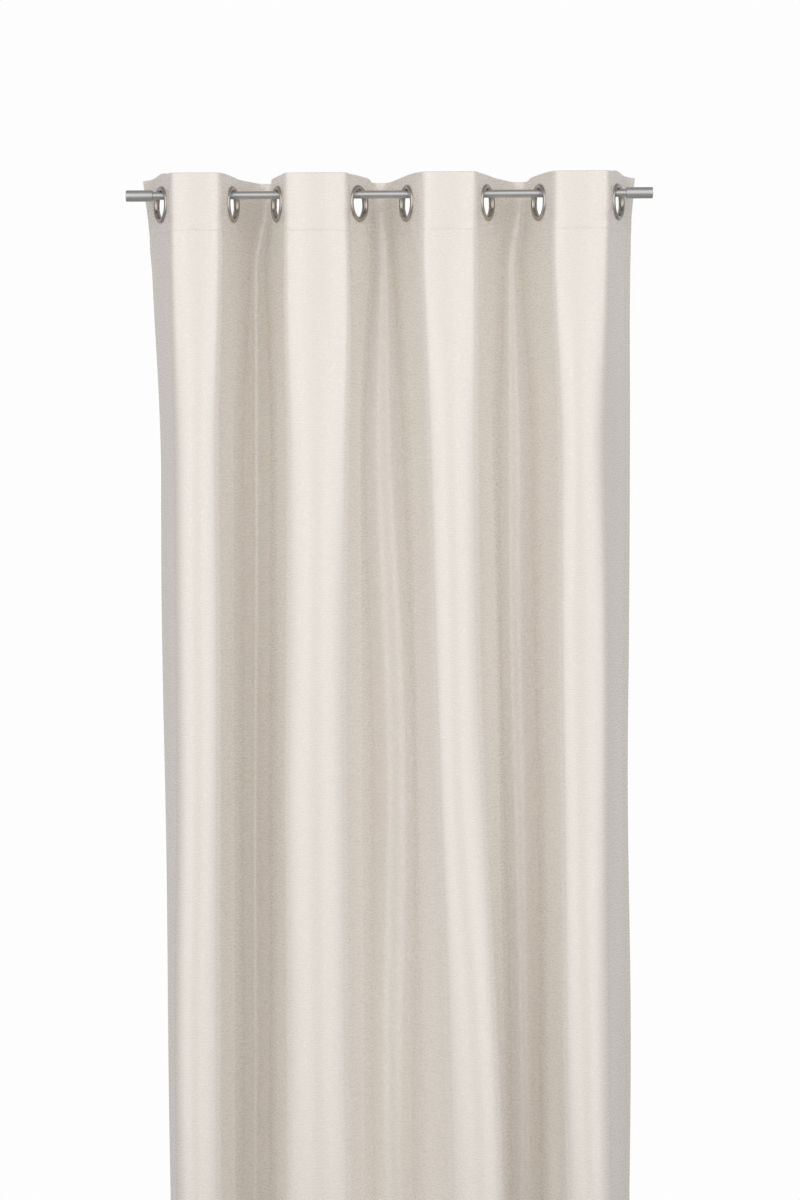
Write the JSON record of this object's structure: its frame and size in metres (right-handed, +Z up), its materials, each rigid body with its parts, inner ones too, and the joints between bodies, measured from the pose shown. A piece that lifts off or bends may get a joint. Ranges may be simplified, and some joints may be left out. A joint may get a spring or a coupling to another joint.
{
  "type": "eyelet curtain on a rod",
  "caption": "Eyelet-top satin curtain panel hanging in soft waves on a thin steel rod with plain cylindrical end caps; it draws along the rod and the caps pull off.",
  "frame": {"origin": "on the rod's axis at mid-length", "axes": "+X along the rod to the right as seen from the room, +Y towards the window, +Z up"},
  "size_m": [0.79, 0.147, 2.45],
  "materials": {
    "rod_steel": "satin",
    "screw_steel": "satin",
    "curtain_cloth": "satin",
    "header_tape": "matte",
    "eyelet_nickel": "gloss"
  },
  "bodies": {
    "rod": {"rod_tube": "rod_steel"},
    "cap_left": {"end_cap_left": "rod_steel"},
    "cap_right": {"end_cap_right": "rod_steel"},
    "screw_left": {"grub_screw_left": "screw_steel"},
    "screw_right": {"grub_screw_right": "screw_steel"},
    "panel_1": {"header_1": "curtain_cloth", "header_tape_1": "header_tape", "drop_1": "curtain_cloth", "eyelet_front_1": "eyelet_nickel", "eyelet_back_1": "eyelet_nickel"},
    "panel_2": {"header_2": "curtain_cloth", "header_tape_2": "header_tape", "drop_2": "curtain_cloth", "eyelet_front_2": "eyelet_nickel", "eyelet_back_2": "eyelet_nickel"},
    "panel_3": {"header_3": "curtain_cloth", "header_tape_3": "header_tape", "drop_3": "curtain_cloth", "eyelet_front_3": "eyelet_nickel", "eyelet_back_3": "eyelet_nickel"},
    "panel_4": {"header_4": "curtain_cloth", "header_tape_4": "header_tape", "drop_4": "curtain_cloth", "eyelet_front_4": "eyelet_nickel", "eyelet_back_4": "eyelet_nickel"},
    "panel_5": {"header_5": "curtain_cloth", "header_tape_5": "header_tape", "drop_5": "curtain_cloth", "eyelet_front_5": "eyelet_nickel", "eyelet_back_5": "eyelet_nickel"},
    "panel_6": {"header_6": "curtain_cloth", "header_tape_6": "header_tape", "drop_6": "curtain_cloth", "eyelet_front_6": "eyelet_nickel", "eyelet_back_6": "eyelet_nickel"},
    "panel_7": {"header_7": "curtain_cloth", "header_tape_7": "header_tape", "drop_7": "curtain_cloth", "eyelet_front_7": "eyelet_nickel", "eyelet_back_7": "eyelet_nickel"},
    "panel_8": {"header_8": "curtain_cloth", "header_tape_8": "header_tape", "drop_8": "curtain_cloth", "eyelet_front_8": "eyelet_nickel", "eyelet_back_8": "eyelet_nickel"}
  },
  "joints": [
    {"name": "cap_left_pull", "type": "slide", "parent": "rod", "child": "cap_left", "axis": [-1, 0, 0], "range_m": [0, 0.042]},
    {"name": "screw_left_turn", "type": "hinge", "parent": "cap_left", "child": "screw_left", "pos_m": [-0.375, 0.0078, 0], "axis": [0, 1, 0], "continuous": true},
    {"name": "cap_right_pull", "type": "slide", "parent": "rod", "child": "cap_right", "axis": [1, 0, 0], "range_m": [0, 0.042]},
    {"name": "screw_right_turn", "type": "hinge", "parent": "cap_right", "child": "screw_right", "pos_m": [0.375, 0.0078, 0], "axis": [0, 1, 0], "continuous": true},
    {"name": "draw", "type": "hinge", "parent": "rod", "child": "panel_1", "pos_m": [-0.34125, 0, 0], "axis": [0, 0, -1], "range_deg": [0, 18]},
    {"name": "fold_1", "type": "hinge", "parent": "panel_1", "child": "panel_2", "pos_m": [-0.28875, -0.06393, 0], "axis": [0, 0, 1], "range_deg": [0, 36]},
    {"name": "fold_2", "type": "hinge", "parent": "panel_2", "child": "panel_3", "pos_m": [-0.2015, 0.07755, 0], "axis": [0, 0, -1], "range_deg": [0, 36]},
    {"name": "fold_3", "type": "hinge", "parent": "panel_3", "child": "panel_4", "pos_m": [-0.107, -0.05567, 0], "axis": [0, 0, 1], "range_deg": [0, 36]},
    {"name": "fold_4", "type": "hinge", "parent": "panel_4", "child": "panel_5", "pos_m": [-0.01, 0.07715, 0], "axis": [0, 0, -1], "range_deg": [0, 36]},
    {"name": "fold_5", "type": "hinge", "parent": "panel_5", "child": "panel_6", "pos_m": [0.08625, -0.05586, 0], "axis": [0, 0, 1], "range_deg": [0, 36]},
    {"name": "fold_6", "type": "hinge", "parent": "panel_6", "child": "panel_7", "pos_m": [0.1855, 0.07563, 0], "axis": [0, 0, -1], "range_deg": [0, 36]},
    {"name": "fold_7", "type": "hinge", "parent": "panel_7", "child": "panel_8", "pos_m": [0.2835, -0.05724, 0], "axis": [0, 0, 1], "range_deg": [0, 36]}
  ],
  "couplings": [
    {"joint": "fold_1", "follows": "draw", "ratio": 2},
    {"joint": "fold_2", "follows": "draw", "ratio": 2},
    {"joint": "fold_3", "follows": "draw", "ratio": 2},
    {"joint": "fold_4", "follows": "draw", "ratio": 2},
    {"joint": "fold_5", "follows": "draw", "ratio": 2},
    {"joint": "fold_6", "follows": "draw", "ratio": 2},
    {"joint": "fold_7", "follows": "draw", "ratio": 2}
  ]
}
